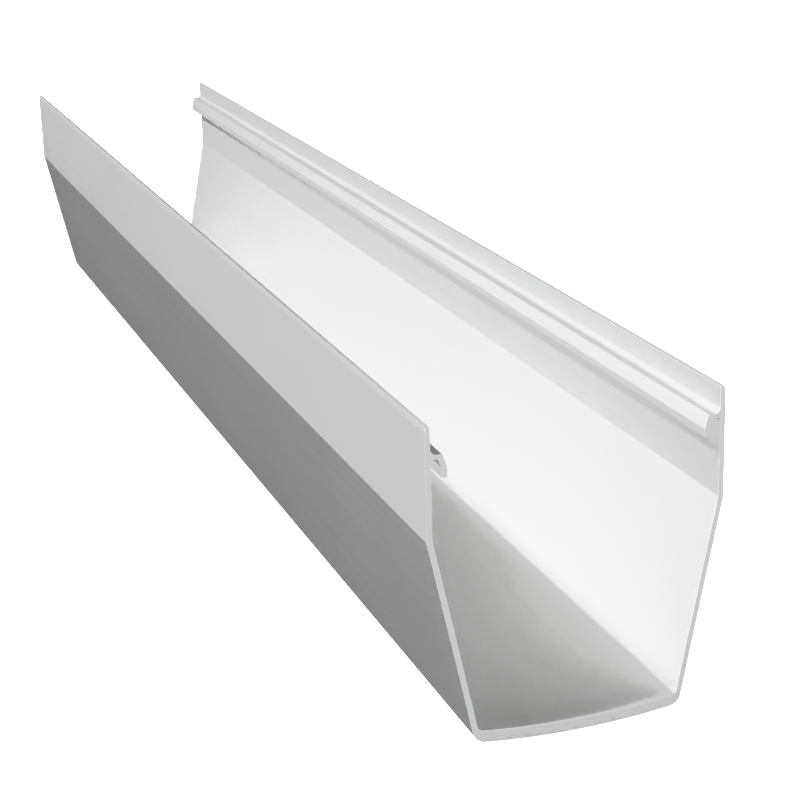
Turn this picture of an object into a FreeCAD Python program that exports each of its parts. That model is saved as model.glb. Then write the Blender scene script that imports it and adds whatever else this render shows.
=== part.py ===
# Gutter section: one extruded plastic gutter profile, sawn square at both ends.
#
# Frame (millimetres): X across the gutter, Y along it, Z up. The origin is the
# middle of the lowest line of the bowed floor, so the part stands on Z = 0.
#
# The section is mirror-symmetric about X = 0. Going round it from the floor:
#   - a floor that bows down a little between two rounded bottom corners,
#   - a lower wall on each side that leans outwards up to a bend,
#   - a vertical upper wall from that bend to the rim, whose outer edge is
#     sloped off to a narrower flat top,
#   - a hooked lip on the inner face of each upper wall, a little below the rim:
#     a short ledge, a leaning nose and a tip that points down, with a slot
#     between the tip and the wall, open downwards.
import FreeCAD, Part
import math
import os
import Sketcher

V = FreeCAD.Vector
doc = FreeCAD.newDocument("GutterSection")

# ---------------------------------------------------------------- dimensions
DIMS = [
    ("section_length", 800.0, "length between the two sawn ends"),
    ("overall_width", 120.0, "over the outer faces of the upper walls"),
    ("overall_height", 130.5, "from the lowest line of the floor to the rim"),
    ("bend_height", 86.4, "height of the bend between lower and upper wall"),
    ("base_width", 85.0, "between the sharp bottom corners, before rounding"),
    ("floor_bow", 2.8, "how far the floor bows down across the base width"),
    ("wall_thickness", 2.2, "walls"),
    ("floor_thickness", 4.6, "floor"),
    ("rim_slope_drop", 2.1, "height of the slope on the rim's outer edge"),
    ("rim_slope_depth", 0.6, "how far that slope leans in at the rim"),
    ("ledge_drop", 10.7, "top of the lip's ledge, below the rim"),
    ("nose_top_reach", 7.0, "upper edge of the nose, from the outer face"),
    ("nose_top_drop", 10.8, "upper edge of the nose, below the rim"),
    ("nose_reach", 8.7, "furthest reach of the nose, from the outer face"),
    ("nose_drop", 16.0, "furthest reach of the nose, below the rim"),
    ("tip_reach", 8.5, "inner corner of the tip, from the outer face"),
    ("tip_drop", 19.7, "tip of the lip, below the rim"),
    ("tip_width", 2.4, "width of the tip"),
    ("slot_waist", 6.4, "far side of the slot at the nose, from the outer face"),
    ("slot_top_drop", 12.6, "top of the slot, below the rim"),
    ("slot_top_reach", 5.0, "far top corner of the slot, from the outer face"),
    ("outer_corner_radius", 5.5, "outside of the bottom corners"),
    ("inner_corner_radius", 2.0, "inside of the bottom corners"),
    ("bend_radius", 2.5, "both faces of the wall bend"),
    ("rim_radius", 0.4, "rim edges"),
    ("lip_radius", 0.9, "outer edges of the lip"),
    ("ledge_root_radius", 2.4, "hollow where the ledge meets the wall"),
]
sheet = doc.addObject("Spreadsheet::Sheet", "dims")
for i, (alias, value, note) in enumerate(DIMS, start=1):
    sheet.set("A%d" % i, alias.replace("_", " "))
    sheet.set("B%d" % i, repr(value))
    sheet.set("C%d" % i, note)
    sheet.setAlias("B%d" % i, alias)
doc.recompute()
D = {alias: value for alias, value, _ in DIMS}

# ------------------------------------------------------------- section sketch
body = doc.addObject("PartDesign::Body", "gutter_channel_body")
body.Label = "gutter_channel"


def origin_plane(owner, role):
    for feature in owner.Origin.OriginFeatures:
        if feature.Role == role:
            return feature
    raise RuntimeError("no origin plane " + role)


sketch = body.newObject("Sketcher::SketchObject", "channel_section")
sketch.AttachmentSupport = [(origin_plane(body, "XZ_Plane"), "")]
sketch.MapMode = "FlatFace"
doc.recompute()

half = D["overall_width"] / 2
high = D["overall_height"]
base = D["base_width"] / 2
bow = D["floor_bow"]
wall = D["wall_thickness"]
lean = math.atan2(half - base, D["bend_height"] - bow)
floor_radius = (base ** 2 + bow ** 2) / (2 * bow)

# right half of the outline, from the outer bottom corner round to the inner
# one: name, start position, and the sheet expressions that hold it there
RIGHT = [
    ("corner_out", base, bow, "dims.base_width / 2", "dims.floor_bow"),
    ("bend_out", half, D["bend_height"],
     "dims.overall_width / 2", "dims.bend_height"),
    ("rim_slope", half, high - D["rim_slope_drop"],
     "dims.overall_width / 2", "dims.overall_height - dims.rim_slope_drop"),
    ("rim_out", half - D["rim_slope_depth"], high,
     "dims.overall_width / 2 - dims.rim_slope_depth", "dims.overall_height"),
    ("rim_in", half - wall, high,
     "dims.overall_width / 2 - dims.wall_thickness", "dims.overall_height"),
    ("ledge_root", half - wall, high - D["ledge_drop"],
     "dims.overall_width / 2 - dims.wall_thickness",
     "dims.overall_height - dims.ledge_drop"),
    ("nose_top", half - D["nose_top_reach"], high - D["nose_top_drop"],
     "dims.overall_width / 2 - dims.nose_top_reach",
     "dims.overall_height - dims.nose_top_drop"),
    ("nose", half - D["nose_reach"], high - D["nose_drop"],
     "dims.overall_width / 2 - dims.nose_reach",
     "dims.overall_height - dims.nose_drop"),
    ("tip_in", half - D["tip_reach"], high - D["tip_drop"],
     "dims.overall_width / 2 - dims.tip_reach",
     "dims.overall_height - dims.tip_drop"),
    ("tip_out", half - D["tip_reach"] + D["tip_width"], high - D["tip_drop"],
     "dims.overall_width / 2 - dims.tip_reach + dims.tip_width",
     "dims.overall_height - dims.tip_drop"),
    ("slot_waist", half - D["slot_waist"], high - D["nose_drop"],
     "dims.overall_width / 2 - dims.slot_waist",
     "dims.overall_height - dims.nose_drop"),
    ("slot_top", half - D["slot_top_reach"], high - D["slot_top_drop"],
     "dims.overall_width / 2 - dims.slot_top_reach",
     "dims.overall_height - dims.slot_top_drop"),
    ("slot_root", half - wall, high - D["slot_top_drop"],
     "dims.overall_width / 2 - dims.wall_thickness",
     "dims.overall_height - dims.slot_top_drop"),
    # the inner bend sits where the two wall faces, one wall thickness in, meet
    ("bend_in", half - wall, D["bend_height"] + wall * math.tan(lean / 2),
     "dims.overall_width / 2 - dims.wall_thickness", None),
]
# inner bottom corner: where the lower wall's inner face meets the floor's top
inner_radius = floor_radius - D["floor_thickness"]
px, pz = RIGHT[-1][1], RIGHT[-1][2]
ix, iz = px, pz
for _ in range(60):
    iz = floor_radius - math.sqrt(inner_radius ** 2 - ix ** 2)
    ix = px - (pz - iz) * math.tan(lean)
RIGHT.append(("corner_in", ix, iz, None, None))


def line(a, b):
    return Part.LineSegment(V(a[0], a[1], 0), V(b[0], b[1], 0))


points = [(p[1], p[2]) for p in RIGHT]
mirror = [(-x, z) for x, z in points]
right_ids = [sketch.addGeometry(line(a, b), False)
             for a, b in zip(points, points[1:])]
left_ids = [sketch.addGeometry(line(a, b), False)
            for a, b in zip(mirror, mirror[1:])]
centre = V(0, floor_radius, 0)


def floor_arc(radius, x_from, x_to):
    start = math.atan2(-math.sqrt(radius ** 2 - x_from ** 2), x_from)
    end = math.atan2(-math.sqrt(radius ** 2 - x_to ** 2), x_to)
    return Part.ArcOfCircle(Part.Circle(centre, V(0, 0, 1), radius), start, end)


# the underside is two arcs that meet, without a kink, on its lowest line
under_left = sketch.addGeometry(floor_arc(floor_radius, -base, 0.0), False)
under_right = sketch.addGeometry(floor_arc(floor_radius, 0.0, base), False)
inner_arc = sketch.addGeometry(floor_arc(inner_radius, -ix, ix), False)

C = Sketcher.Constraint
for ids in (right_ids, left_ids):
    for a, b in zip(ids, ids[1:]):
        sketch.addConstraint(C("Coincident", a, 2, b, 1))
# the floor's arcs run from the left corner (start) to the right one (end)
sketch.addConstraint(C("Coincident", under_right, 2, right_ids[0], 1))
sketch.addConstraint(C("Coincident", under_left, 1, left_ids[0], 1))
sketch.addConstraint(C("Coincident", under_left, 2, -1, 1))
sketch.addConstraint(C("Coincident", under_right, 1, -1, 1))
sketch.addConstraint(C("Equal", under_left, under_right))
sketch.addConstraint(C("Coincident", inner_arc, 2, right_ids[-1], 2))
sketch.addConstraint(C("Coincident", inner_arc, 1, left_ids[-1], 2))
# one centre for both faces of the floor
sketch.addConstraint(C("Coincident", under_right, 3, inner_arc, 3))


def held(kind, first, second, value, name, expression):
    index = sketch.addConstraint(C(kind, -1, 1, first, second, value))
    sketch.renameConstraint(index, name)
    sketch.setExpression("Constraints." + name, expression)


for n, (name, x, z, ex, ez) in enumerate(RIGHT):
    geo, pos = (right_ids[n], 1) if n < len(right_ids) else (right_ids[-1], 2)
    other = left_ids[n] if n < len(left_ids) else left_ids[-1]
    if ex:
        held("DistanceX", geo, pos, x, name + "_x", ex)
    if ez:
        held("DistanceY", geo, pos, z, name + "_z", ez)
    if name != "corner_in":
        # left half: the mirror image across the vertical axis
        sketch.addConstraint(C("Symmetric", geo, pos, other, pos, -2))
# lower wall: inner face parallel to the outer one, one wall thickness away
sketch.addConstraint(C("Parallel", right_ids[0], right_ids[-1]))
sketch.addConstraint(C("Parallel", left_ids[0], left_ids[-1]))
index = sketch.addConstraint(C("Distance", right_ids[-1], 1, right_ids[0], wall))
sketch.renameConstraint(index, "lower_wall")
sketch.setExpression("Constraints.lower_wall", "dims.wall_thickness")
for arc, value, name, text in (
        (under_right, floor_radius, "floor_under", ""),
        (inner_arc, inner_radius, "floor_top", " - dims.floor_thickness")):
    index = sketch.addConstraint(C("Radius", arc, value))
    sketch.renameConstraint(index, name)
    sketch.setExpression(
        "Constraints." + name,
        "((dims.base_width / 2)^2 + dims.floor_bow^2) / (2 * dims.floor_bow)"
        + text)
doc.recompute()
print("sketch solve", sketch.solve(),
      "fully constrained", sketch.FullyConstrained)
section_area = Part.Face(Part.Wire(Part.__sortEdges__(
    sketch.Shape.Edges))).Area

# ------------------------------------------------------------------ extrusion
pad = body.newObject("PartDesign::Pad", "channel_extrusion")
pad.Profile = sketch
pad.setExpression("Length", "dims.section_length")
if hasattr(pad, "SideType"):
    pad.SideType = "Symmetric"
else:
    pad.Midplane = True
doc.recompute()


def long_edges(shape, places):
    """Names of the edges that run along Y through the given (x, z) places."""
    names = []
    for place in places:
        best = None
        for k, edge in enumerate(shape.Edges, start=1):
            if edge.Length < 0.9 * D["section_length"]:
                continue
            p = edge.valueAt(edge.FirstParameter)
            away = math.hypot(p.x - place[0], p.z - place[1])
            if best is None or away < best[0]:
                best = (away, "Edge%d" % k)
        if best is None or best[0] > 0.05:
            raise RuntimeError("no edge at %s" % (place,))
        names.append(best[1])
    return names


AT = {name: (x, z) for name, x, z, _, _ in RIGHT}


def rounding(previous, name, corners, alias):
    places = []
    for corner in corners:
        x, z = AT[corner]
        places += [(x, z), (-x, z)]
    feature = body.newObject("PartDesign::Fillet", name)
    feature.Base = (previous, long_edges(previous.Shape, places))
    feature.Radius = D[alias]
    feature.setExpression("Radius", "dims." + alias)
    doc.recompute()
    return feature


last = rounding(pad, "bottom_corners_outside", ["corner_out"],
                "outer_corner_radius")
last = rounding(last, "bottom_corners_inside", ["corner_in"],
                "inner_corner_radius")
last = rounding(last, "wall_bends", ["bend_out", "bend_in"], "bend_radius")
last = rounding(last, "rims", ["rim_out", "rim_in"], "rim_radius")
last = rounding(last, "ledge_roots", ["ledge_root"], "ledge_root_radius")
last = rounding(last, "lips", ["nose_top", "nose", "tip_in", "tip_out"],
                "lip_radius")
body.Tip = last
body.Placement = FreeCAD.Placement(V(0, 0, 0), FreeCAD.Rotation())
doc.recompute()

# --------------------------------------------------------------------- checks
bad = [o.Name for o in doc.Objects
       if any(s in ("Invalid", "Error") for s in o.State)]
if bad:
    raise RuntimeError("failed objects: %s" % bad)
parts = [body]
for part in parts:
    shape = part.Shape
    if shape.isNull() or not shape.isValid():
        raise RuntimeError("bad shape: " + part.Label)
    if len(shape.Solids) != 1:
        raise RuntimeError("not one solid: " + part.Label)
box = body.Shape.BoundBox
for have, want in ((box.XLength, D["overall_width"]),
                   (box.YLength, D["section_length"]),
                   (box.ZLength, D["overall_height"]),
                   (box.ZMin, 0.0), (box.XMin, -half),
                   (box.YMin, -D["section_length"] / 2)):
    if abs(have - want) > 0.02:
        raise RuntimeError("size %.3f, wanted %.3f" % (have, want))
# the roundings only trim or fill small corners of the padded section
raw = section_area * D["section_length"]
volume = body.Shape.Volume
if abs(volume / raw - 1) > 0.03:
    raise RuntimeError("volume %.0f against section x length %.0f"
                       % (volume, raw))
print("section %.1f mm2, volume %.0f mm3 (unrounded %.0f)"
      % (volume / D["section_length"], volume, raw))

os.makedirs("parts", exist_ok=True)
for part in parts:
    part.Shape.exportStep(os.path.join("parts", part.Label + ".step"))
    print("wrote", part.Label)
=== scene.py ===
import math

import bmesh
import bpy
from mathutils import Matrix, Vector
from mathutils.geometry import tessellate_polygon


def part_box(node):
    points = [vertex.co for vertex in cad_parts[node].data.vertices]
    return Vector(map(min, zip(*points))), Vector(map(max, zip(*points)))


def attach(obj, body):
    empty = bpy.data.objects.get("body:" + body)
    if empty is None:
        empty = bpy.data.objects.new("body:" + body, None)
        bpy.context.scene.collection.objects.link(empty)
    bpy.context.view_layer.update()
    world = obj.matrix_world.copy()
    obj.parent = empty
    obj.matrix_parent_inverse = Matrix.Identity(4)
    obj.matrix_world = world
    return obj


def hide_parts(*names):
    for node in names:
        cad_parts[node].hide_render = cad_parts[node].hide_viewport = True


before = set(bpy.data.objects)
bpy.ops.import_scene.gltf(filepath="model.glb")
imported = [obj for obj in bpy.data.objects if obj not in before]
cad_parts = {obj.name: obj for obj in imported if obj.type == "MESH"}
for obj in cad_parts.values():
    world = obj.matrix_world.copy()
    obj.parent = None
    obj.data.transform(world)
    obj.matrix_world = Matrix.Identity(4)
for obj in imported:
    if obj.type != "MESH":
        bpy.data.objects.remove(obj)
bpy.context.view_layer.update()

NODE = "gutter_channel"
node_lo, node_hi = (Vector(v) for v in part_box(NODE))


# ------------------------------------------------------------------- profile
# The section in millimetres, X across and Z up, as the source has it. The
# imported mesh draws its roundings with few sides, so the visible piece is the
# same outline with fine ones.
HALF = (node_hi.x - node_lo.x) * 500.0
HIGH = node_hi.z * 1000.0
LONG = (node_hi.y - node_lo.y) * 500.0
BEND, BASE, BOW = 86.4, 42.5, 2.8
WALL, FLOOR = 2.2, 4.6
UNDER = (BASE ** 2 + BOW ** 2) / (2 * BOW)
TOP = UNDER - FLOOR
LEAN = math.atan2(HALF - BASE, BEND - BOW)


def arc(centre, radius, a, b, n):
    return [(centre[0] + radius * math.cos(a + (b - a) * i / n),
             centre[1] + radius * math.sin(a + (b - a) * i / n))
            for i in range(n + 1)]


def rounded(corner, before, after, radius, n):
    """Points of a corner between two straight edges, rounded."""
    p, a, b = Vector(corner), Vector(before), Vector(after)
    u, v = (a - p).normalized(), (b - p).normalized()
    half = math.acos(max(-1.0, min(1.0, u.dot(v)))) / 2
    reach = radius / math.tan(half)
    centre = p + (u + v).normalized() * (radius / math.sin(half))
    s, e = p + u * reach, p + v * reach
    t0 = math.atan2(s.y - centre.y, s.x - centre.x)
    t1 = math.atan2(e.y - centre.y, e.x - centre.x)
    turn = (t1 - t0 + math.pi) % (2 * math.pi) - math.pi
    return arc(centre, radius, t0, t0 + turn, n)


def touching(wall_point, side, radius, reach):
    """Centre of a circle that touches the lower wall's line and the floor.

    side is +1 for the outer corner, whose circle lies inwards of the line,
    and reach is the centre's distance from the floor arcs' centre."""
    normal = Vector((-math.cos(LEAN), math.sin(LEAN)))
    along = Vector((-math.sin(LEAN), -math.cos(LEAN)))
    start = Vector(wall_point) + normal * radius * side
    d = start - Vector((0.0, UNDER))
    b = d.dot(along)
    k = -b + math.sqrt(b * b - d.dot(d) + reach * reach)
    return start + along * k


def section():
    ro, ri = 5.5, 2.0
    bend_in = (HALF - WALL, BEND + WALL * math.tan(LEAN / 2))
    pts = []
    # underside and outer bottom corner
    c = touching((HALF, BEND), 1, ro, UNDER - ro)
    down = math.atan2(c.y - UNDER, c.x)          # from the arcs' centre to c
    end = -LEAN                                   # the wall's outward normal
    pts += arc((0.0, UNDER), UNDER, -math.pi / 2, down, 28)
    pts += arc(c, ro, down, end, 16)[1:]
    # outer face
    low_out = pts[-1]
    slope = (HALF, HIGH - 2.1)
    rim_out, rim_in = (HALF - 0.6, HIGH), (HALF - WALL, HIGH)
    pts += rounded((HALF, BEND), low_out, slope, 2.5, 8)
    pts += rounded(slope, (HALF, BEND), rim_out, 0.8, 4)
    pts += rounded(rim_out, slope, rim_in, 0.4, 6)
    root = (HALF - WALL, HIGH - 10.7)
    nose_top = (HALF - 7.0, HIGH - 10.8)
    nose = (HALF - 8.7, HIGH - 16.0)
    tip_in = (HALF - 8.5, HIGH - 19.7)
    tip_out = (HALF - 6.1, HIGH - 19.7)
    waist = (HALF - 6.4, HIGH - 16.0)
    slot_top = (HALF - 5.0, HIGH - 12.6)
    slot_root = (HALF - WALL, HIGH - 12.6)
    pts += rounded(rim_in, rim_out, root, 0.4, 6)
    pts += rounded(root, rim_in, nose_top, 2.4, 12)
    pts += rounded(nose_top, root, nose, 0.9, 8)
    pts += rounded(nose, nose_top, tip_in, 0.9, 5)
    pts += rounded(tip_in, nose, tip_out, 0.9, 8)
    pts += rounded(tip_out, tip_in, waist, 0.9, 8)
    pts += rounded(waist, tip_out, slot_top, 0.5, 4)
    pts += rounded(slot_top, waist, slot_root, 0.4, 4)
    pts += rounded(slot_root, slot_top, bend_in, 0.4, 4)
    # inner face, inner bottom corner and the floor's top
    c = touching(bend_in, 1, ri, TOP - ri)
    down = math.atan2(c.y - UNDER, c.x)
    corner = arc(c, ri, -LEAN, down, 10)
    pts += rounded(bend_in, slot_root, corner[0], 2.5, 8)
    pts += corner
    pts += arc((0.0, UNDER), TOP, down, -math.pi / 2, 28)[1:]
    right = [(x, z) for x, z in pts]
    left = [(-x, z) for x, z in reversed(right[1:-1])]
    return right + left


def inset(ring, by):
    """The outline moved inwards by a small step, corner by corner."""
    out = []
    n = len(ring)
    for i in range(n):
        p, a, b = (Vector(ring[k % n]) for k in (i, i - 1, i + 1))
        u, v = (p - a).normalized(), (b - p).normalized()
        nu, nv = Vector((-u.y, u.x)), Vector((-v.y, v.x))
        m = (nu + nv).normalized()
        out.append(tuple(p + m * (by / max(0.5, m.dot(nu)))))
    return out


def gutter_mesh():
    ring = section()
    area = sum(a[0] * b[1] - b[0] * a[1]
               for a, b in zip(ring, ring[1:] + ring[:1])) / 2
    if area < 0:
        ring = ring[::-1]
    broken = 0.18                                 # edge break of the sawn ends
    small = inset(ring, broken)
    steps = 20
    ys = [-LONG + broken + (2 * LONG - 2 * broken) * i / steps
          for i in range(steps + 1)]
    rows = [(-LONG, small)] + [(y, ring) for y in ys] + [(LONG, small)]
    bm = bmesh.new()
    verts = [[bm.verts.new((x / 1000, y / 1000, z / 1000)) for x, z in r]
             for y, r in rows]
    n = len(ring)
    for a, b in zip(verts, verts[1:]):
        for i in range(n):
            j = (i + 1) % n
            bm.faces.new((a[i], b[i], b[j], a[j]))
    # the sawn faces, as triangles of the outline
    flat = [Vector((x, z, 0.0)) for x, z in small]
    for i, j, k in tessellate_polygon([flat]):
        bm.faces.new((verts[0][i], verts[0][j], verts[0][k]))
        bm.faces.new((verts[-1][k], verts[-1][j], verts[-1][i]))
    bmesh.ops.recalc_face_normals(bm, faces=bm.faces)
    bm.normal_update()
    for f in bm.faces:
        f.smooth = abs(f.normal.y) < 0.2
    for e in bm.edges:
        if len(e.link_faces) == 2:
            e.smooth = e.calc_face_angle() < math.radians(28)
    me = bpy.data.meshes.new("gutter_channel_fine")
    bm.to_mesh(me)
    bm.free()
    return me


channel = bpy.data.objects.new("gutter_channel_fine", gutter_mesh())
bpy.context.collection.objects.link(channel)
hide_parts(NODE)
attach(channel, "root")


# ------------------------------------------------------------------ material
class Nodes:
    """Short hand for building a node tree."""

    def __init__(self, name):
        self.mat = bpy.data.materials.new(name)
        self.mat.use_nodes = True
        self.tree = self.mat.node_tree
        self.tree.nodes.clear()
        self.out = self.add("ShaderNodeOutputMaterial")
        self.bsdf = self.add("ShaderNodeBsdfPrincipled")
        self.link(self.bsdf.outputs["BSDF"], self.out.inputs["Surface"])

    def add(self, kind, **props):
        n = self.tree.nodes.new(kind)
        for k, v in props.items():
            setattr(n, k, v)
        return n

    def link(self, a, b):
        self.tree.links.new(a, b)

    def math(self, op, a, b=None, clamp=False):
        n = self.add("ShaderNodeMath", operation=op, use_clamp=clamp)
        for i, v in enumerate((a, b)):
            if v is None:
                continue
            if isinstance(v, (int, float)):
                n.inputs[i].default_value = v
            else:
                self.link(v, n.inputs[i])
        return n.outputs[0]

    def mapped(self, vec, scale):
        n = self.add("ShaderNodeMapping")
        n.inputs["Scale"].default_value = scale
        self.link(vec, n.inputs["Vector"])
        return n.outputs["Vector"]

    def noise(self, vec, scale, detail=2.0, rough=0.5):
        n = self.add("ShaderNodeTexNoise", noise_dimensions="3D")
        n.inputs["Scale"].default_value = scale
        n.inputs["Detail"].default_value = detail
        n.inputs["Roughness"].default_value = rough
        self.link(vec, n.inputs["Vector"])
        return n.outputs["Fac"]

    def mix(self, fac, a, b):
        n = self.add("ShaderNodeMix", data_type="RGBA")
        if isinstance(fac, (int, float)):
            n.inputs[0].default_value = fac
        else:
            self.link(fac, n.inputs[0])
        for s, v in ((6, a), (7, b)):
            if isinstance(v, tuple):
                n.inputs[s].default_value = (*v, 1.0)
            else:
                self.link(v, n.inputs[s])
        return n.outputs[2]

    def bump(self, height, strength, distance, normal=None):
        n = self.add("ShaderNodeBump")
        n.inputs["Strength"].default_value = strength
        n.inputs["Distance"].default_value = distance
        self.link(height, n.inputs["Height"])
        if normal is not None:
            self.link(normal, n.inputs["Normal"])
        return n.outputs["Normal"]


def rigid_pvc():
    m = Nodes("light_grey_rigid_pvc")
    where = m.add("ShaderNodeTexCoord").outputs["Object"]
    split = m.add("ShaderNodeSeparateXYZ")
    m.link(where, split.inputs[0])
    # faces of the two sawn ends: within 0.2 mm of them
    far = m.math("ABSOLUTE", split.outputs["Y"])
    at_end = m.math("GREATER_THAN", far, LONG / 1000 - 0.0001)

    # draw lines of the extrusion die, long along Y and fine across
    fine = m.noise(m.mapped(where, (1.0, 0.006, 1.0)), 900.0, 3.0, 0.6)
    wide = m.noise(m.mapped(where, (1.0, 0.012, 1.0)), 110.0, 2.0, 0.5)
    cloud = m.noise(where, 14.0, 3.0, 0.55)
    grit = m.noise(where, 2600.0, 2.0, 0.5)

    tone = m.mix(m.math("MULTIPLY", wide, 0.6),
                 (0.505, 0.505, 0.505), (0.494, 0.494, 0.494))
    tone = m.mix(m.math("MULTIPLY", cloud, 0.35),
                 tone, (0.514, 0.514, 0.514))
    # saw marks across the end faces: shallow arcs of a large blade
    blade = m.add("ShaderNodeVectorMath", operation="DISTANCE")
    m.link(where, blade.inputs[0])
    blade.inputs[1].default_value = (0.19, 0.0, 0.26)
    wobble = m.noise(where, 60.0, 2.0, 0.5)
    ring = m.math("ADD", blade.outputs["Value"],
                  m.math("MULTIPLY", wobble, 0.0006))
    comb = m.add("ShaderNodeCombineXYZ")
    m.link(ring, comb.inputs["X"])
    saw = m.noise(comb.outputs[0], 1500.0, 3.0, 0.65)
    cut = m.mix(saw, (0.490, 0.490, 0.490), (0.525, 0.525, 0.525))
    m.link(m.mix(at_end, tone, cut), m.bsdf.inputs["Base Color"])

    rough = m.math("ADD", m.math("MULTIPLY", fine, 0.16),
                   m.math("MULTIPLY", cloud, 0.10))
    rough = m.math("ADD", rough, 0.34)
    rough_end = m.math("ADD", m.math("MULTIPLY", saw, 0.2), 0.6)
    pick = m.add("ShaderNodeMix", data_type="FLOAT")
    m.link(at_end, pick.inputs[0])
    m.link(rough, pick.inputs[2])
    m.link(rough_end, pick.inputs[3])
    m.link(pick.outputs[0], m.bsdf.inputs["Roughness"])

    side = m.bump(fine, 0.10, 0.0001)
    side = m.bump(wide, 0.10, 0.0004, side)
    side = m.bump(grit, 0.05, 0.00004, side)
    end = m.bump(saw, 0.35, 0.0001)
    which = m.add("ShaderNodeMix", data_type="VECTOR")
    m.link(at_end, which.inputs[0])
    m.link(side, which.inputs[4])
    m.link(end, which.inputs[5])
    m.link(which.outputs[1], m.bsdf.inputs["Normal"])
    m.bsdf.inputs["IOR"].default_value = 1.53
    m.bsdf.inputs["Specular IOR Level"].default_value = 0.35
    return m.mat


channel.data.materials.append(rigid_pvc())

# --------------------------------------------------------------------- stage
mesh = bpy.data.meshes.new("floor")
R = 30.0
mesh.from_pydata([(-R, -R, 0), (R, -R, 0), (R, R, 0), (-R, R, 0)], [],
                 [(0, 1, 2, 3)])
floor = bpy.data.objects.new("floor", mesh)
floor.location = (0, 0, -0.0002)
bpy.context.collection.objects.link(floor)
fm = Nodes("pale_floor")
place = fm.add("ShaderNodeTexCoord").outputs["Object"]
pale = fm.mix(fm.noise(place, 1.5, 2.0), (0.90, 0.90, 0.90), (0.92, 0.92, 0.92))
fm.link(pale, fm.bsdf.inputs["Base Color"])
fm.bsdf.inputs["Roughness"].default_value = 0.9
fm.bsdf.inputs["Specular IOR Level"].default_value = 0.1
# a light table: the floor glows a little from below, which thins the shadow
fm.bsdf.inputs["Emission Color"].default_value = (1.0, 1.0, 1.0, 1.0)
fm.bsdf.inputs["Emission Strength"].default_value = 0.7
mesh.materials.append(fm.mat)
floor.visible_diffuse = False
floor.visible_glossy = False


# -------------------------------------------------------------------- lights
def sun(name, toward, energy, angle, shadow=True):
    """A soft distant light. toward points from the object to the light."""
    data = bpy.data.lights.new(name, "SUN")
    data.energy = energy * math.pi
    data.angle = math.radians(angle)
    data.use_shadow = shadow
    o = bpy.data.objects.new(name, data)
    o.rotation_mode = "QUATERNION"
    o.rotation_quaternion = Vector(toward).to_track_quat("Z", "Y")
    bpy.context.collection.objects.link(o)
    return o


def slope(deg, side=-1.0, y=0.0):
    return (side * math.cos(math.radians(deg)), y, math.sin(math.radians(deg)))


# The key just clears the left rim and leaves the floor to the bounced light.
# The wash from the same side has no shadow of its own, so nothing inside the
# hooks goes black.
sun("key", slope(51.0), 0.60, 4.0)
sun("wash", slope(24.0), 0.84, 10.0, shadow=False)
# the lights at the two ends are left out of the gloss, or each would skim along
# the channel into a lens at the other end
sun("front", (0.0, -1.0, 0.035), 1.08, 10.0).visible_glossy = False
sun("back", (0.0, 1.0, 0.02), 1.45, 10.0).visible_glossy = False
sun("right", slope(3.0, 1.0), 0.66, 10.0)
sun("right_wash", slope(3.0, 1.0), 0.44, 10.0, shadow=False)

# a small softbox over the near end evens out the channel's floor, which the
# bright wall otherwise lights mostly in the middle
data = bpy.data.lights.new("softbox", "AREA")
data.shape = "RECTANGLE"
data.size, data.size_y = 0.30, 0.16
data.energy = 0.50
softbox = bpy.data.objects.new("softbox", data)
softbox.location = (0.0, -0.67, 0.30)
softbox.rotation_mode = "QUATERNION"
softbox.rotation_quaternion = Vector((0.0, -0.32, 0.30)).to_track_quat("Z", "Y")
softbox.visible_camera = False
bpy.context.collection.objects.link(softbox)

world = bpy.data.worlds.new("studio")
bpy.context.scene.world = world
world.use_nodes = True
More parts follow.
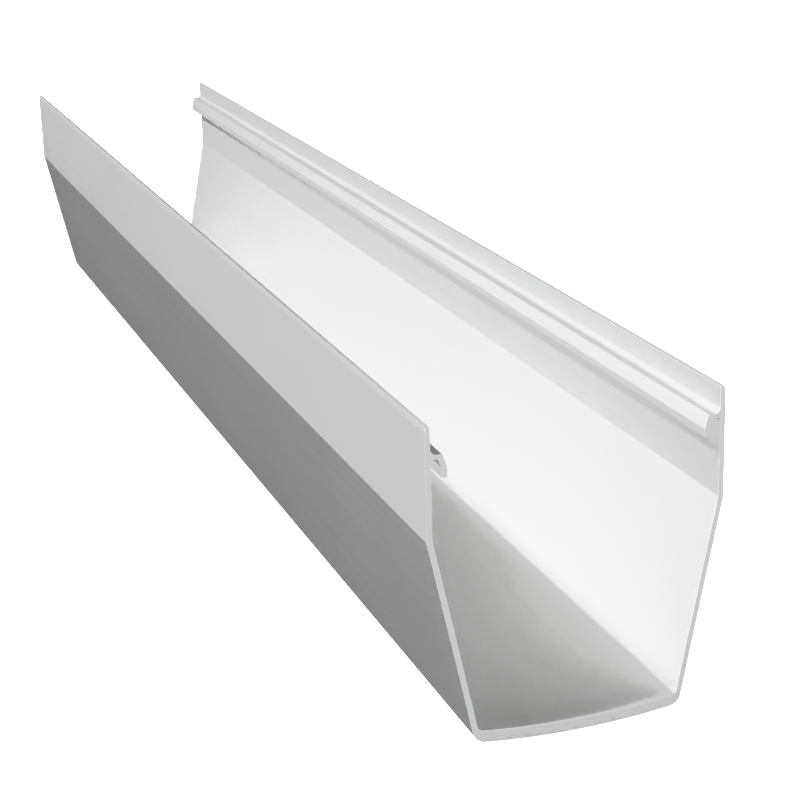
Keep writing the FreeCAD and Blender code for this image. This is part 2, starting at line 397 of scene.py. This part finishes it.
# the studio's white wall: seen past the floor's edge, but hardly a light
wt = world.node_tree
back = wt.nodes["Background"]
back.inputs["Color"].default_value = (1.0, 1.0, 1.0, 1.0)
back.inputs["Strength"].default_value = 0.02
wall = wt.nodes.new("ShaderNodeBackground")
wall.inputs["Color"].default_value = (1.0, 1.0, 1.0, 1.0)
wall.inputs["Strength"].default_value = 1.2
seen = wt.nodes.new("ShaderNodeLightPath")
both = wt.nodes.new("ShaderNodeMixShader")
wt.links.new(seen.outputs["Is Camera Ray"], both.inputs[0])
wt.links.new(back.outputs[0], both.inputs[1])
wt.links.new(wall.outputs[0], both.inputs[2])
wt.links.new(both.outputs[0], wt.nodes["World Output"].inputs["Surface"])

# -------------------------------------------------------------------- camera
CAM = {"f": 1989.047, "yaw": 18.951, "pitch": 18.119, "roll": -1.678,
       "at": (-0.283833, -1.026970, 0.359022)}
yaw, pitch, roll = (math.radians(CAM[k]) for k in ("yaw", "pitch", "roll"))
ahead = Vector((math.sin(yaw) * math.cos(pitch),
                math.cos(yaw) * math.cos(pitch), -math.sin(pitch)))
right = Vector((math.cos(yaw), -math.sin(yaw), 0.0))
up = right.cross(ahead)
right, up = (right * math.cos(roll) + up * math.sin(roll),
             up * math.cos(roll) - right * math.sin(roll))
cam_data = bpy.data.cameras.new("camera")
cam_data.sensor_width = 36.0
cam_data.lens = CAM["f"] / 800.0 * 36.0
cam_data.clip_start, cam_data.clip_end = 0.05, 100.0
cam = bpy.data.objects.new("camera", cam_data)
bpy.context.collection.objects.link(cam)
turn = Matrix((right, up, -ahead)).transposed().to_4x4()
cam.matrix_world = Matrix.Translation(CAM["at"]) @ turn
bpy.context.scene.camera = cam

view = bpy.context.scene.view_settings
view.view_transform = "Standard"
view.look = "None"
view.exposure = 0.0
view.gamma = 1.0
# the hard tones of a catalogue picture, drawn on the linear values
TONES = ((0.0, 0.0), (0.10, 0.03), (0.20, 0.075), (0.30, 0.13), (0.38, 0.19),
         (0.425, 0.245), (0.46, 0.33), (0.50, 0.44), (0.535, 0.57), (0.60, 0.598),
         (0.67, 0.632), (0.72, 0.685), (0.765, 0.79), (0.81, 0.86), (0.90, 0.94),
         (1.0, 1.0))
view.use_curve_mapping = True
tones = view.curve_mapping.curves[3]
tones.points[0].location, tones.points[-1].location = TONES[0], TONES[-1]
for x, y in TONES[1:-1]:
    tones.points.new(x, y)
for p in tones.points:
    p.handle_type = "AUTO_CLAMPED"
view.curve_mapping.update()
